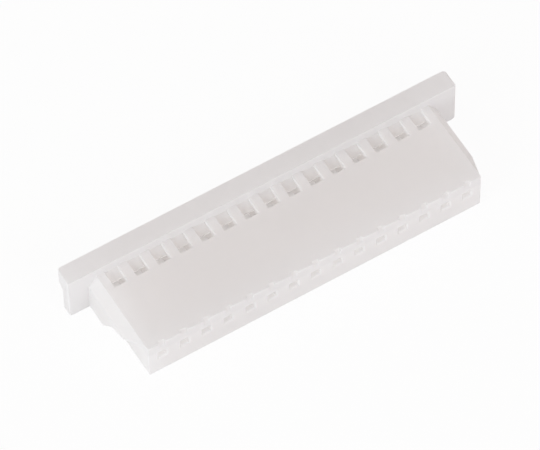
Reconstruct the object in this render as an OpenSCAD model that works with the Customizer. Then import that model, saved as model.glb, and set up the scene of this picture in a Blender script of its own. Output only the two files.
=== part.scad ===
// Crimp connector housing: a moulded plug with one row of contact cavities,
// a flanged wire end with two pull ears, and a key on each end of the nose.
// Millimetres, +Z up. The mating face looks along -Y and the wires enter along +Y.
// The origin is under the middle of the row, on the resting face.

/* [Contact row] */
// Number of contacts in the row
contacts = 15; // [2:1:24]
// Distance between neighbouring contacts
pitch = 1.0; // [0.95:0.01:1.25]
// Width of the crimp contact's box
contact_width = 0.66; // [0.50:0.01:0.66]
// Height of the crimp contact's box
contact_height = 0.98; // [0.80:0.01:1.00]
// Play between a contact and its cavity, on each side
contact_clearance = 0.04; // [0.02:0.01:0.05]
// Side of the square header pin
pin_size = 0.32; // [0.24:0.01:0.36]
// Play between a pin and its hole, on each side
pin_clearance = 0.03; // [0.02:0.01:0.05]

/* [Nose] */
// Depth of the nose, from the mating face to the flange
nose_depth = 3.96; // [3.40:0.01:4.60]
// Height of the nose, from the resting face to its top
nose_height = 1.93; // [1.85:0.01:2.20]
// Distance from the last contact to the end of the nose
end_margin = 0.64; // [0.58:0.01:0.90]
// Thickness of the wall that the pins pass through
front_wall = 0.5; // [0.35:0.01:0.70]
// Height of the row of pin holes below the top of the nose
pin_drop = 0.81; // [0.76:0.01:0.86]
// Thickness of the roof over the cavities
roof = 0.32; // [0.25:0.01:0.36]
// Radius of the long lower edges of the nose
lower_edge_radius = 0.14; // [0.08:0.01:0.25]
// Chamfer around the mating face
nose_chamfer = 0.03; // [0.02:0.01:0.12]

/* [Openings] */
// Length of the lance window over each cavity, from the flange forwards
window_length = 0.8; // [0.60:0.01:1.00]
// How much narrower than the cavity the window is, on each side
window_inset = 0.09; // [0.04:0.01:0.14]
// Length of the front part of the window, which opens into the cavity
slot_length = 0.36; // [0.20:0.01:0.45]
// Depth of the ramp behind the slot, where it meets the flange
ramp_depth = 0.09; // [0.04:0.01:0.12]
// Thickness of the catch at the front of the ramp
catch_lip = 0.08; // [0.05:0.01:0.10]
// Width of the funnel around each pin hole, beyond the hole
funnel_margin = 0.05; // [0.03:0.01:0.08]
// Width of the sloped notch in the lip over each pin hole
notch_width = 0.26; // [0.16:0.01:0.30]
// Height of the notch
notch_height = 0.32; // [0.20:0.01:0.45]
// Depth of the notch at the top of the nose
notch_depth = 0.14; // [0.05:0.01:0.20]
// Depth of the wider mouth of each wire entry
mouth_depth = 0.3; // [0.15:0.01:0.40]
// How much wider than the cavity the mouth is, on each side
mouth_step = 0.05; // [0.02:0.01:0.06]

/* [Flange] */
// Depth of the flange at the wire end
flange_depth = 0.85; // [0.75:0.01:1.20]
// Height of the flange above the top of the nose
flange_rise = 0.45; // [0.30:0.01:0.60]
// How far each ear reaches beyond the end of the nose
ear_reach = 1.3; // [0.90:0.01:1.60]
// Thickness of the lower part of an ear
ear_thickness = 0.42; // [0.34:0.01:0.60]
// Height of the full-depth bar along the top of an ear
ear_bar_height = 0.55; // [0.40:0.01:0.70]
// Radius of the outer corners of an ear
ear_radius = 0.18; // [0.10:0.01:0.25]
// Radius of the flange's upper edges
flange_edge_radius = 0.06; // [0.04:0.01:0.10]

/* [End keys] */
// How far a key stands out from the end of the nose
key_reach = 0.38; // [0.20:0.01:0.50]
// Height of the bevel between the top of the nose and the outer side of a key
key_bevel = 0.5; // [0.30:0.01:0.70]
// Height of a key's outer side where its slim front part begins
key_rail = 0.57; // [0.30:0.01:0.80]
// Height of a key at its tip
key_tip = 0.15; // [0.10:0.01:0.30]
// Length of the deep part of a key in front of the flange
key_foot = 1.03; // [0.80:0.01:1.30]
// Length of the slope between the deep part and the slim part
key_slope = 0.7; // [0.30:0.01:0.80]
// Length of the taper at the front of a key
key_taper = 1.1; // [0.70:0.01:1.40]
// Distance from the mating face to the tip of a key
key_setback = 0.16; // [0.10:0.01:0.60]

/* [Hidden] */
$fn = 48;
eps = 0.02;

row_length = (contacts - 1) * pitch;
nose_width = row_length + 2 * end_margin;
flange_width = nose_width + 2 * ear_reach;
overall_depth = nose_depth + flange_depth;
overall_height = nose_height + flange_rise;

front_y = -overall_depth / 2;
flange_y = front_y + nose_depth;
rear_y = overall_depth / 2;

cavity_width = contact_width + 2 * contact_clearance;
cavity_height = contact_height + 2 * contact_clearance;
cavity_top = nose_height - roof;
cavity_bottom = cavity_top - cavity_height;
pin_z = nose_height - pin_drop;
pin_hole = pin_size + 2 * pin_clearance;
window_width = cavity_width - 2 * window_inset;

// Rectangle with its lower edge on y = 0, centred in x, with rounded corners
module rounded_section(width, height, lower_radius, upper_radius) {
    for (side = [-1, 1]) {
        translate([side * (width / 2 - lower_radius), lower_radius])
            circle(lower_radius);
        translate([side * (width / 2 - upper_radius), height - upper_radius])
            circle(upper_radius);
    }
    translate([-width / 2, lower_radius])
        square([width, height - lower_radius - upper_radius]);
    translate([lower_radius - width / 2, 0])
        square([width - 2 * lower_radius, height / 2]);
    translate([upper_radius - width / 2, height / 2])
        square([width - 2 * upper_radius, height / 2]);
}

// Turns a drawing in x and z into a bar from y = from to y = to
module along_y(from, to) {
    translate([0, to, 0])
        rotate([90, 0, 0])
            linear_extrude(to - from)
                children();
}

// Turns a drawing in y and z into a bar of the given width, centred in x
module along_x(width) {
    translate([-width / 2, 0, 0])
        rotate([90, 0, 90])
            linear_extrude(width)
                children();
}

// Nose seen from the end: chamfered at the upper and lower edge of the mating face
module nose_profile() {
    polygon([
        [front_y + nose_chamfer, 0],
        [flange_y + eps, 0],
        [flange_y + eps, nose_height],
        [front_y + nose_chamfer, nose_height],
        [front_y, nose_height - nose_chamfer],
        [front_y, nose_chamfer]
    ]);
}

// Nose seen from above: chamfered at both ends of the mating face
module nose_plan() {
    half = nose_width / 2;
    polygon([
        [-half, flange_y + eps],
        [-half, front_y + nose_chamfer],
        [nose_chamfer - half, front_y],
        [half - nose_chamfer, front_y],
        [half, front_y + nose_chamfer],
        [half, flange_y + eps]
    ]);
}

module nose() {
    intersection() {
        along_y(front_y, flange_y + eps)
            rounded_section(nose_width, nose_height, lower_edge_radius, nose_chamfer / 2);
        along_x(nose_width)
            nose_profile();
        linear_extrude(nose_height)
            nose_plan();
    }
}

// Flange seen from the end of an ear: a full-depth bar above, a thinner blade below
module ear_profile() {
    bar_z = overall_height - ear_bar_height;
    slope = flange_depth - ear_thickness;
    polygon([
        [flange_y, 0],
        [flange_y + ear_thickness, 0],
        [flange_y + ear_thickness, bar_z - slope],
        [rear_y, bar_z],
        [rear_y, overall_height],
        [flange_y, overall_height]
    ]);
}

// Flange seen from above, with rounded rear corners
module flange_plan() {
    translate([0, rear_y])
        mirror([0, 1])
            rounded_section(flange_width, flange_depth, ear_radius, flange_edge_radius);
}

module flange() {
    intersection() {
        along_y(flange_y, rear_y)
            rounded_section(flange_width, overall_height, ear_radius, flange_edge_radius);
        linear_extrude(overall_height)
            flange_plan();
        union() {
            along_x(flange_width)
                ear_profile();
            translate([-nose_width / 2, flange_y, 0])
                cube([nose_width, flange_depth, overall_height]);
        }
    }
}

// Keys seen from the mating face: bevelled from the top of the nose outwards
module key_section() {
    half = nose_width / 2;
    bevel_z = nose_height - key_bevel;
    polygon([
        [-half - key_reach, 0],
        [half + key_reach, 0],
        [half + key_reach, bevel_z],
        [half, nose_height],
        [-half, nose_height],
        [-half - key_reach, bevel_z]
    ]);
}

// Keys seen from the end: slim in front, deeper down to the resting face behind
module key_profile() {
    tip_y = front_y + key_setback;
    foot_y = flange_y - key_foot;
    rail_z = nose_height - key_bevel - key_rail;
    polygon([
        [tip_y, nose_height],
        [tip_y, nose_height - key_tip],
        [foot_y - key_slope, rail_z],
        [foot_y, 0],
        [flange_y + eps, 0],
        [flange_y + eps, nose_height]
    ]);
}

// Keys seen from above: tapered towards the mating face
module key_plan() {
    half = nose_width / 2;
    tip_y = front_y + key_setback;
    polygon([
        [-half, tip_y],
        [half, tip_y],
        [half + key_reach, tip_y + key_taper],
        [half + key_reach, flange_y + eps],
        [-half - key_reach, flange_y + eps],
        [-half - key_reach, tip_y + key_taper]
    ]);
}

module end_keys() {
    intersection() {
        along_y(front_y, flange_y + eps)
            key_section();
        along_x(flange_width)
            key_profile();
        linear_extrude(nose_height)
            key_plan();
    }
}

// Box centred in x, given by its ranges in y and z
module slot(width, y_range, z_range) {
    translate([-width / 2, y_range[0], z_range[0]])
        cube([width, y_range[1] - y_range[0], z_range[1] - z_range[0]]);
}

// Cavity for one contact, with the wider mouth where its wire enters
module contact_cavity() {
    mouth_width = cavity_width + 2 * mouth_step;
    slot(cavity_width, [front_y + front_wall, rear_y + eps], [cavity_bottom, cavity_top]);
    slot(mouth_width, [rear_y - mouth_depth, rear_y + eps],
        [cavity_bottom - mouth_step, cavity_top + mouth_step]);
}

// Window in the roof: a slot into the cavity in front, a ramp up to the flange behind
module lance_window() {
    window_y = flange_y - window_length;
    catch_y = window_y + slot_length;
    along_x(window_width)
        polygon([
            [window_y, nose_height + eps],
            [window_y, cavity_top - eps],
            [catch_y, cavity_top - eps],
            [catch_y, cavity_top + catch_lip],
            [flange_y, nose_height - ramp_depth],
            [flange_y, nose_height + eps]
        ]);
}

// Section through the funnel at the mating face, with the depth along y
module funnel_section() {
    mouth = pin_hole + 2 * (funnel_margin + eps);
    polygon([
        [front_y - eps, -mouth / 2],
        [front_y + funnel_margin, -pin_hole / 2],
        [front_y + funnel_margin, pin_hole / 2],
        [front_y - eps, mouth / 2]
    ]);
}

// Square hole for the header pin, with a funnel at the mating face
module pin_passage() {
    reach = pin_hole + 4 * funnel_margin;
    slot(pin_hole, [front_y - eps, front_y + front_wall + eps],
        [pin_z - pin_hole / 2, pin_z + pin_hole / 2]);
    translate([0, 0, pin_z])
        intersection() {
            along_x(reach)
                funnel_section();
            translate([0, 0, -reach / 2])
                linear_extrude(reach)
                    mirror([1, -1])
                        funnel_section();
        }
}

// Notch in the lip above the pin hole, deepest at the top of the nose
module lip_notch() {
    along_x(notch_width)
        polygon([
            [front_y - eps, nose_height - notch_height],
            [front_y, nose_height - notch_height],
            [front_y + notch_depth, nose_height],
            [front_y + notch_depth, nose_height + eps],
            [front_y - eps, nose_height + eps]
        ]);
}

module contact_row() {
    for (i = [0 : contacts - 1]) {
        translate([i * pitch - row_length / 2, 0, 0]) {
            contact_cavity();
            lance_window();
            pin_passage();
            lip_notch();
        }
    }
}

module housing() {
    color("WhiteSmoke")
        difference() {
            union() {
                nose();
                flange();
                end_keys();
            }
            contact_row();
        }
}

housing();
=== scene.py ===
"""Studio view of a white crimp connector housing.

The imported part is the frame. Its moulded shell is taken over as one merged
mesh, its edges are rounded as a moulding tool rounds them, and it is dressed
in milky nylon on a pale sheet under soft light. All lengths are in metres.
"""

import logging
import math
from dataclasses import dataclass, field
from enum import Enum

import bmesh
import bpy
from mathutils import Matrix, Vector


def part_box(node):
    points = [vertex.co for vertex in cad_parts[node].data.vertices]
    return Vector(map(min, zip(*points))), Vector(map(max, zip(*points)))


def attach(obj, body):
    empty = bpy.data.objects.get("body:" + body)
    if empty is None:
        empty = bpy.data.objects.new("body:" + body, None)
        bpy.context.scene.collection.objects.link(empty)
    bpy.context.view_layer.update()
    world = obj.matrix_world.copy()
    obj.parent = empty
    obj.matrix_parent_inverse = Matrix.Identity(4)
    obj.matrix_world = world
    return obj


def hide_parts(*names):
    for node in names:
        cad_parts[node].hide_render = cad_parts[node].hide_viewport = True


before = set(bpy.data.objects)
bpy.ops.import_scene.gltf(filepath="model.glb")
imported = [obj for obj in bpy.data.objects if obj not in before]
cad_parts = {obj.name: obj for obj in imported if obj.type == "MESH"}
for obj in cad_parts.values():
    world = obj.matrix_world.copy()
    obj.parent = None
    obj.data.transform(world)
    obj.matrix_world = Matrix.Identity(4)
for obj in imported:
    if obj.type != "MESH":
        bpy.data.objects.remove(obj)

LOG = logging.getLogger("connector_housing")
Triple = tuple[float, float, float]
WHITE: Triple = (1.0, 1.0, 1.0)

# Places that the finish, the edge groups and the camera share.
MM = 0.001
MATING_Y = -2.405 * MM
FLANGE_Y = 1.555 * MM
WIRE_Y = 2.405 * MM
NOSE_TOP = 1.93 * MM


class Signal:
    """One shader output with arithmetic, so that a pattern reads as a formula."""

    def __init__(self, tree: "ShaderTree", socket: bpy.types.NodeSocket | None) -> None:
        """Keeps the tree that the output belongs to and the output itself."""
        self.tree = tree
        self.socket = socket

    def _math(self, operation: str, *terms: "Signal | float") -> "Signal":
        """Joins terms by one maths node.

        Args:
            operation: Name of the maths operation.
            terms: Its inputs in order, as signals or plain numbers.

        Returns:
            The result as a new signal.
        """
        inputs = dict(enumerate(terms))
        return self.tree.node("ShaderNodeMath", {"operation": operation}, inputs)

    def __add__(self, other: "Signal | float") -> "Signal":
        """Returns this signal plus the other."""
        return self._math("ADD", self, other)

    def __radd__(self, other: float) -> "Signal":
        """Returns the number plus this signal."""
        return self._math("ADD", other, self)

    def __sub__(self, other: "Signal | float") -> "Signal":
        """Returns this signal less the other."""
        return self._math("SUBTRACT", self, other)

    def __rsub__(self, other: float) -> "Signal":
        """Returns the number less this signal."""
        return self._math("SUBTRACT", other, self)

    def __mul__(self, other: "Signal | float") -> "Signal":
        """Returns this signal times the other."""
        return self._math("MULTIPLY", self, other)

    def __rmul__(self, other: float) -> "Signal":
        """Returns the number times this signal."""
        return self._math("MULTIPLY", other, self)

    def __abs__(self) -> "Signal":
        """Returns the size of this signal without its sign."""
        return self._math("ABSOLUTE", self)

    def lesser(self, other: "Signal | float") -> "Signal":
        """Returns the lesser of this signal and the other."""
        return self._math("MINIMUM", self, other)

    def within(self, low: float, high: float) -> "Signal":
        """Returns this signal held between two numbers."""
        return self._math("MAXIMUM", self, low).lesser(high)

    def ramp(self, start: float, length: float) -> "Signal":
        """Returns 0 at the start, rising to 1 over a length, which may be negative."""
        return ((self - start) * (1.0 / length)).within(0.0, 1.0)


class ShaderTree:
    """Node tree of one material or world, filled by one method."""

    # The Mix node has sockets of the same name for each kind of data, so those for
    # colours go by number.
    MIX_SHARE, MIX_FIRST, MIX_SECOND, MIX_RESULT = 0, 6, 7, 2

    def __init__(self, owner: "bpy.types.Material | bpy.types.World") -> None:
        """Empties the owner's node tree and keeps it.

        Args:
            owner: The material or world that the tree belongs to.
        """
        owner.use_nodes = True
        self.nodes = owner.node_tree.nodes
        self.links = owner.node_tree.links
        self.nodes.clear()

    def node(
        self,
        kind: str,
        settings: dict[str, object] | None = None,
        inputs: dict[str | int, object] | None = None,
        output: str | int = 0,
    ) -> Signal:
        """Adds one node.

        Args:
            kind: Type name of the node.
            settings: Properties that are set before the sockets are filled.
            inputs: Socket values or signals, by socket name or number.
            output: The output that is handed on.

        Returns:
            The chosen output as a signal, empty for a node without outputs.
        """
        made = self.nodes.new(kind)
        for name, value in (settings or {}).items():
            setattr(made, name, value)
        for name, value in (inputs or {}).items():
            if isinstance(value, Signal):
                self.links.new(value.socket, made.inputs[name])
            else:
                made.inputs[name].default_value = value
        return Signal(self, made.outputs[output] if made.outputs else None)

    def axes(self, place: Signal) -> list[Signal]:
        """Returns the X, Y and Z of a place."""
        kind = "ShaderNodeSeparateXYZ"
        return [self.node(kind, inputs={0: place}, output=axis) for axis in "XYZ"]

    def noise(self, place: Signal, size: float, detail: float) -> Signal:
        """Returns soft noise whose patches are about size across."""
        inputs = {"Vector": place, "Scale": 1.0 / size, "Detail": detail}
        return self.node("ShaderNodeTexNoise", inputs=inputs)

    def blend(
        self, share: Signal, first: Signal | Triple, second: Signal | Triple
    ) -> Signal:
        """Mixes two colours.

        Args:
            share: 0 for the first colour, 1 for the second.
            first: A colour, plain or varying.
            second: The other colour, plain or varying.

        Returns:
            The mixed colour.
        """
        inputs: dict[str | int, object] = {self.MIX_SHARE: share}
        for socket, colour in ((self.MIX_FIRST, first), (self.MIX_SECOND, second)):
            inputs[socket] = colour if isinstance(colour, Signal) else (*colour, 1.0)
        kind = {"data_type": "RGBA"}
        return self.node("ShaderNodeMix", kind, inputs, self.MIX_RESULT)

    def layer(self, share: Signal, first: Signal, second: Signal) -> Signal:
        """Returns the first shader where share is 0 and the second where it is 1."""
        return self.node("ShaderNodeMixShader", inputs={0: share, 1: first, 2: second})

    def seen_directly(self) -> Signal:
        """Finds the rays that show a thing itself and not only its light.

        Returns:
            1 for rays of the camera, of reflections and of see-through parts.
        """
        camera, glossy, through = (
            self.node("ShaderNodeLightPath", output=f"Is {name} Ray")
            for name in ("Camera", "Glossy", "Transmission")
        )
        return (camera + glossy + through).within(0.0, 1.0)


@dataclass(frozen=True)
class NylonFinish:
    """Milky white nylon straight from the mould, whose thin walls let light through."""

    name: str = "nylon_milk_white"
    slot: str = "nylon"
    body_colour: Triple = (0.950, 0.930, 0.930)
    cloud_colour: Triple = (0.966, 0.950, 0.950)
    # Darker colour painted into the flange and the lip as painted shade.
    thick_painted_shade: Triple = (0.890, 0.872, 0.871)
    # Paler colour painted deep in the cavities as painted light.
    inner_painted_light: Triple = (0.990, 0.980, 0.950)
    glow_colour: Triple = (0.966, 0.950, 0.943)
    skin_share: float = 0.5
    thick_share: float = 0.4
    inner_share: float = 0.9
    row_half: float = 7.5 * MM
    mating_y: float = MATING_Y
    flange_y: float = FLANGE_Y
    entry_y: float = 2.0 * MM
    nose_top: float = NOSE_TOP
    lip_y: float = -0.2 * MM
    lip_z: float = 1.3 * MM
    lip_blend: float = 1.7 * MM
    wall_blend: float = 0.2 * MM
    skin_blend: float = 0.5 * MM
    cloud_size: float = 1.6 * MM
    cloud_detail: float = 3.0
    cloud_weight: float = 0.7
    fleck_size: float = 0.35 * MM
    fleck_weight: float = 0.3
    fleck_middle: float = 0.5
    fine_detail: float = 2.0
    grain_size: float = 0.06 * MM
    grain_depth: float = 0.0012 * MM
    grain_strength: float = 0.6
    roughness: float = 0.46
    roughness_spread: float = 0.10
    refraction: float = 1.5

    def material(self) -> bpy.types.Material:
        """Makes the finish.

        Returns:
            The finish as a new material.
        """
        made = bpy.data.materials.new(self.name)
        tree = ShaderTree(made)
        place = tree.node("ShaderNodeTexCoord", output="Object")
        clouds = tree.noise(place, self.cloud_size, self.cloud_detail)
        flecks = tree.noise(place, self.fleck_size, self.fine_detail)
        grain = tree.noise(place, self.grain_size, self.fine_detail)
        milk = self.cloud_weight * clouds + self.fleck_weight * flecks
        thick_and_painted_shade = self._thick_and_painted_shade(tree, place)
        inner_and_painted_light = self._inner_and_painted_light(tree, place)
        colour = tree.blend(milk.within(0.0, 1.0), self.body_colour, self.cloud_colour)
        # Painted shade: the flange and the lip are darkened.
        colour = tree.blend(thick_and_painted_shade, colour, self.thick_painted_shade)
        # Painted light: the walls deep in the cavities are lightened.
        colour = tree.blend(inner_and_painted_light, colour, self.inner_painted_light)
        share = self.skin_share + thick_and_painted_shade * (self.thick_share - self.skin_share)
        share = share + inner_and_painted_light * (self.inner_share - share)
        sheen = self.roughness + (flecks - self.fleck_middle) * self.roughness_spread
        bump = tree.node(
            "ShaderNodeBump",
            inputs={
                "Strength": self.grain_strength,
                "Distance": self.grain_depth,
                "Height": grain,
            },
        )
        skin = tree.node(
            "ShaderNodeBsdfPrincipled",
            inputs={
                "Base Color": colour,
                "Roughness": sheen,
                "Normal": bump,
                "IOR": self.refraction,
            },
        )
        glow = tree.node(
            "ShaderNodeBsdfTranslucent", inputs={"Color": (*self.glow_colour, 1.0)}
        )
        shader = tree.layer(share, skin, glow)
        tree.node("ShaderNodeOutputMaterial", inputs={"Surface": shader})
        return made

    def _thick_and_painted_shade(self, tree: ShaderTree, place: Signal) -> Signal:
        """Finds the solid walls, which let less light through and get a darker colour
        as painted shade.

        Args:
            tree: The material's node tree.
            place: The place on the housing.

        Returns:
            1 in the flange and in the lip over the pin holes, 0 in thin walls.
        """
        _, back, height = tree.axes(place)
        flange = back.ramp(self.flange_y - self.wall_blend, self.wall_blend)
        front = back.ramp(self.lip_y, -self.lip_blend)
        above = height.ramp(self.lip_z, self.wall_blend)
        return flange + front * above

    def _inner_and_painted_light(self, tree: ShaderTree, place: Signal) -> Signal:
        """Finds the walls inside the nose, which glow from all sides and get a paler
        colour as painted light.

        Args:
            tree: The material's node tree.
            place: The place on the housing.

        Returns:
            1 deep in the cavities, 0 outside and in the wire entries.
        """
        across, back, height = tree.axes(place)
        depth = (self.row_half - abs(across)).lesser(self.nose_top - height)
        depth = depth.lesser(back - self.mating_y).lesser(self.entry_y - back)
        return depth.lesser(height).ramp(0.0, self.skin_blend)


@dataclass(frozen=True)
class SheetFinish:
    """White paper that looks evenly white to the camera and keeps a faint shadow."""

    name: str = "white_sheet"
    colour: Triple = (0.95, 0.95, 0.95)
    white_share: float = 0.93
    tooth_size: float = 0.8 * MM
    tooth_detail: float = 2.0
    tooth_shade: float = 0.97

    def material(self) -> bpy.types.Material:
        """Makes the finish.

        Returns:
            The finish as a new material.
        """
        made = bpy.data.materials.new(self.name)
        tree = ShaderTree(made)
        place = tree.node("ShaderNodeTexCoord", output="Object")
        tooth = tree.noise(place, self.tooth_size, self.tooth_detail)
        red, green, blue = (self.tooth_shade * channel for channel in self.colour)
        colour = tree.blend(tooth, self.colour, (red, green, blue))
        paper = tree.node("ShaderNodeBsdfDiffuse", inputs={"Color": colour})
        white = tree.node("ShaderNodeEmission", inputs={"Strength": 1.0})
        shader = tree.layer(tree.seen_directly() * self.white_share, paper, white)
        tree.node("ShaderNodeOutputMaterial", inputs={"Surface": shader})
        return made


class EdgeKind(Enum):
    """Groups of moulded edges, each with the radius that the tool leaves."""

    OUTER = 0.045 * MM
    RIM = 0.03 * MM
    LIP = 0.012 * MM


@dataclass
class Housing:
    """The moulded housing: nose, flange with ears, end keys and contact openings."""

    node: str = "housing"
    name: str = "moulded_housing"
    weld_distance: float = 0.0005 * MM
    split_height: float = 1.1 * MM
    flat_angle: float = math.radians(1.0)
    sharp_angle: float = math.radians(30.0)
    smooth_angle: float = math.radians(40.0)
    mating_y: float = MATING_Y
    flange_y: float = FLANGE_Y
    wire_y: float = WIRE_Y
    nose_top: float = NOSE_TOP
    window_length: float = 0.8 * MM
    row_half: float = 7.45 * MM
    entry_heights: tuple[float, float] = (0.45 * MM, 1.70 * MM)
    lip_depth: float = 0.16 * MM
    reach: float = 0.01 * MM
    round_segments: int = 3
    round_profile: float = 0.5
    shell: bpy.types.Object | None = field(default=None, init=False)

    def build(self) -> bpy.types.Object:
        """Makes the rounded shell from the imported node.

        Returns:
            The shell, riding on the root body in place of the node.
        """
        self._merge_copy()
        for kind in EdgeKind:
            count = self._round_edges(kind)
            LOG.info("%s: %d %s edges rounded", self.name, count, kind.name.lower())
        self._finish_normals()
        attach(self.shell, "root")
        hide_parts(self.node)
        return self.shell

    def dress(self, finish: NylonFinish) -> None:
        """Gives the shell its finish.

        Args:
            finish: The nylon that the shell is moulded from.
        """
        self.shell.data.materials.clear()
        self.shell.data.materials.append(finish.material())

    def _merge_copy(self) -> None:
        """Copies the node, welds its loose triangles and clears lines on flat faces.

        One level line through the pin holes and wire entries stays, so that no face
        runs all the way round an opening.
        """
        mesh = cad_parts[self.node].data.copy()
        mesh.name = self.name
        self.shell = bpy.data.objects.new(self.name, mesh)
        bpy.context.scene.collection.objects.link(self.shell)
        bpy.ops.object.select_all(action="DESELECT")
        self.shell.select_set(True)
        bpy.context.view_layer.objects.active = self.shell
        bpy.ops.mesh.customdata_custom_splitnormals_clear()
        bpy.ops.object.mode_set(mode="EDIT")
        bpy.ops.mesh.select_mode(type="EDGE")
        bpy.ops.mesh.select_all(action="SELECT")
        bpy.ops.mesh.remove_doubles(threshold=self.weld_distance)
        bpy.ops.mesh.normals_make_consistent(inside=False)
        bpy.ops.mesh.bisect(
            plane_co=(0.0, 0.0, self.split_height), plane_no=(0.0, 0.0, 1.0)
        )
        bpy.ops.mesh.mark_seam()
        bpy.ops.mesh.select_all(action="SELECT")
        bpy.ops.mesh.dissolve_limited(angle_limit=self.flat_angle, delimit={"SEAM"})
        bpy.ops.mesh.mark_seam(clear=True)
        bpy.ops.object.mode_set(mode="OBJECT")

    def _round_edges(self, kind: EdgeKind) -> int:
        """Rounds one group of sharp edges.

        Args:
            kind: The group, whose value is the radius.

        Returns:
            The number of edges rounded.
        """
        bpy.ops.object.mode_set(mode="EDIT")
        bpy.ops.mesh.select_all(action="DESELECT")
        mesh = bmesh.from_edit_mesh(self.shell.data)
        chosen = [edge for edge in mesh.edges if self._kind_of(edge) is kind]
        for edge in chosen:
            edge.select_set(True)
        bmesh.update_edit_mesh(self.shell.data)
        bpy.ops.mesh.bevel(
            offset_type="OFFSET",
            offset=kind.value,
            segments=self.round_segments,
            profile=self.round_profile,
            affect="EDGES",
            clamp_overlap=True,
        )
        bpy.ops.object.mode_set(mode="OBJECT")
        return len(chosen)

    def _kind_of(self, edge: bmesh.types.BMEdge) -> EdgeKind | None:
        """Sorts an edge by its place on the housing.

        Args:
            edge: An edge of the shell.

        Returns:
            The group of a sharp convex edge, or None for an edge that stays as it is.
        """
        if len(edge.link_faces) != 2 or not edge.is_convex:
            return None
        if edge.calc_face_angle(0.0) < self.sharp_angle:
            return None
        first, second = (vertex.co for vertex in edge.verts)
        middle = (first + second) / 2
        in_row = abs(middle.x) < self.row_half
        low, high = self.entry_heights
        on_top = self.nose_top - self.reach < middle.z < self.nose_top + self.reach
        window_y = self.flange_y - self.window_length
        at_window = window_y - self.reach < middle.y < self.flange_y + self.reach
        if in_row and on_top and at_window:
            return EdgeKind.RIM
        if in_row and middle.y > self.wire_y - self.reach and low < middle.z < high:
            return EdgeKind.RIM
        if in_row and middle.y < self.mating_y + self.lip_depth:
            return EdgeKind.LIP if middle.z > low else EdgeKind.OUTER
        inside = in_row and low < middle.z < self.nose_top - self.reach
        return None if inside else EdgeKind.OUTER

    def _finish_normals(self) -> None:
        """Smooths across the rounded edges and keeps the flat faces flat."""
        bpy.ops.object.shade_smooth_by_angle(angle=self.smooth_angle)
        weighted = self.shell.modifiers.new("flat_faces", "WEIGHTED_NORMAL")
        weighted.keep_sharp = True
        bpy.ops.object.modifier_apply(modifier=weighted.name)


def direction(azimuth: float, elevation: float) -> Vector:
    """Finds the way from the housing towards a viewer or a lamp.

    Args:
        azimuth: Degrees to the right, 0 being in front of the mating face.
        elevation: Degrees above the sheet.

    Returns:
        The way as a unit vector.
    """
    turn, rise = math.radians(azimuth), math.radians(elevation)
    flat = math.cos(rise)
    return Vector((math.sin(turn) * flat, -math.cos(turn) * flat, math.sin(rise)))


@dataclass(frozen=True)
class Softbox:
    """One square soft lamp that faces the housing."""

    name: str
    azimuth: float
    elevation: float
    power: float
    tint: Triple
    distance: float = 0.30
    side: float = 0.22

    def build(self, target: Vector) -> bpy.types.Object:
        """Places the lamp.

        Args:
            target: The point that the lamp faces.

        Returns:
            The lamp.
        """
        lamp = bpy.data.lights.new(self.name, "AREA")
        lamp.shape = "SQUARE"
        lamp.size = self.side
        lamp.energy = self.power
        lamp.color = self.tint
        made = bpy.data.objects.new(self.name, lamp)
        out = direction(self.azimuth, self.elevation)
        made.location = target + out * self.distance
        made.rotation_euler = out.to_track_quat("Z", "Y").to_euler()
        bpy.context.scene.collection.objects.link(made)
        return made


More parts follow.
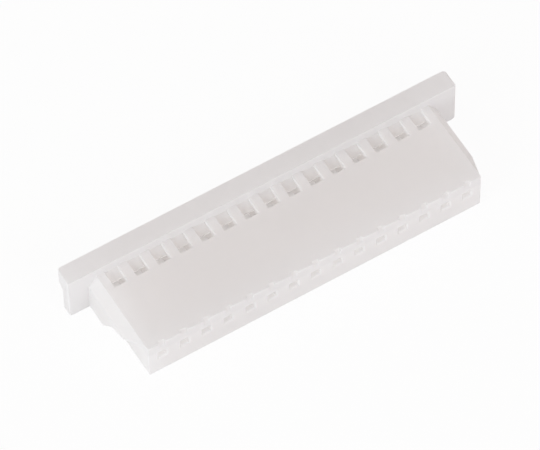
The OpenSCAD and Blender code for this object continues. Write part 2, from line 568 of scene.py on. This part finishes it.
@dataclass
class Studio:
    """Pale sheet, even sky light and two softboxes."""

    sheet_side: float = 0.8
    sheet_drop: float = 0.02 * MM
    sky_strength: float = 0.54
    sky_tint: Triple = (1.09, 1.0, 0.96)
    softboxes: tuple[Softbox, ...] = (
        Softbox(
            name="left_softbox",
            azimuth=-75.0,
            elevation=25.0,
            power=0.42,
            tint=(0.86, 1.0, 1.06),
        ),
        Softbox(
            name="front_softbox",
            azimuth=5.0,
            elevation=30.0,
            power=0.215,
            tint=(0.93, 1.0, 1.09),
        ),
    )

    def build(self, target: Vector) -> None:
        """Lays the sheet, sets the sky light and places the lamps.

        Args:
            target: The point that the lamps face.
        """
        sheet = self._lay_sheet()
        sheet.data.materials.append(SheetFinish().material())
        self._light_sky()
        for softbox in self.softboxes:
            softbox.build(target)
            LOG.info("%s placed", softbox.name)

    def _lay_sheet(self) -> bpy.types.Object:
        """Lays the sheet just below the housing.

        Returns:
            The sheet.
        """
        bpy.ops.mesh.primitive_plane_add(
            size=self.sheet_side, location=(0.0, 0.0, -self.sheet_drop)
        )
        sheet = bpy.context.active_object
        sheet.name = "pale_sheet"
        bpy.ops.object.transform_apply(location=True, rotation=True, scale=True)
        return sheet

    def _light_sky(self) -> None:
        """Sets even light all round, plain white where it is seen directly."""
        world = bpy.data.worlds.new("even_sky")
        bpy.context.scene.world = world
        tree = ShaderTree(world)
        seen = tree.seen_directly()
        colour = tree.blend(seen, self.sky_tint, WHITE)
        level = self.sky_strength + seen * (1.0 - self.sky_strength)
        inputs = {"Color": colour, "Strength": level}
        sky = tree.node("ShaderNodeBackground", inputs=inputs)
        tree.node("ShaderNodeOutputWorld", inputs={"Surface": sky})


@dataclass(frozen=True)
class PhotoCamera:
    """Long lens that looks down on the mating face from the left."""

    name: str = "photo_camera"
    azimuth: float = -30.363
    elevation: float = 57.814
    roll: float = -0.9426
    distance: float = 225.43 * MM
    slide: tuple[float, float] = (-1.8082 * MM, 1.4770 * MM)
    aim: Triple = (0.0, MATING_Y, NOSE_TOP)
    lens: float = 384.09
    sensor: float = 36.0
    clip: tuple[float, float] = (0.01, 10.0)

    def build(self) -> bpy.types.Object:
        """Sets the camera.

        Returns:
            The camera, which is now the scene's own.
        """
        data = bpy.data.cameras.new(self.name)
        data.sensor_fit = "HORIZONTAL"
        data.sensor_width = self.sensor
        data.lens = self.lens
        data.clip_start, data.clip_end = self.clip
        made = bpy.data.objects.new(self.name, data)
        back = direction(self.azimuth, self.elevation)
        level = Vector((0.0, 0.0, 1.0)).cross(back).normalized()
        rise = back.cross(level)
        turn = math.radians(self.roll)
        right = level * math.cos(turn) + rise * math.sin(turn)
        up = rise * math.cos(turn) - level * math.sin(turn)
        eye = Vector(self.aim) + back * self.distance
        eye = eye + right * self.slide[0] + up * self.slide[1]
        pose = Matrix((right, up, back)).transposed().to_4x4()
        pose.translation = eye
        made.matrix_world = pose
        bpy.context.scene.collection.objects.link(made)
        bpy.context.scene.camera = made
        return made


def main() -> None:
    """Builds the housing, dresses it and sets the studio around it."""
    logging.basicConfig(level=logging.INFO, format="%(name)s: %(message)s")
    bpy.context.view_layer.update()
    camera = PhotoCamera().build()
    LOG.info("%s set", camera.name)
    housing = Housing()
    shell = housing.build()
    housing.dress(NylonFinish())
    LOG.info("%s: %d faces", shell.name, len(shell.data.polygons))
    low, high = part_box(housing.node)
    Studio().build((low + high) / 2)
    bpy.context.scene.view_settings.view_transform = "Standard"


if __name__ == "__main__":
    main()
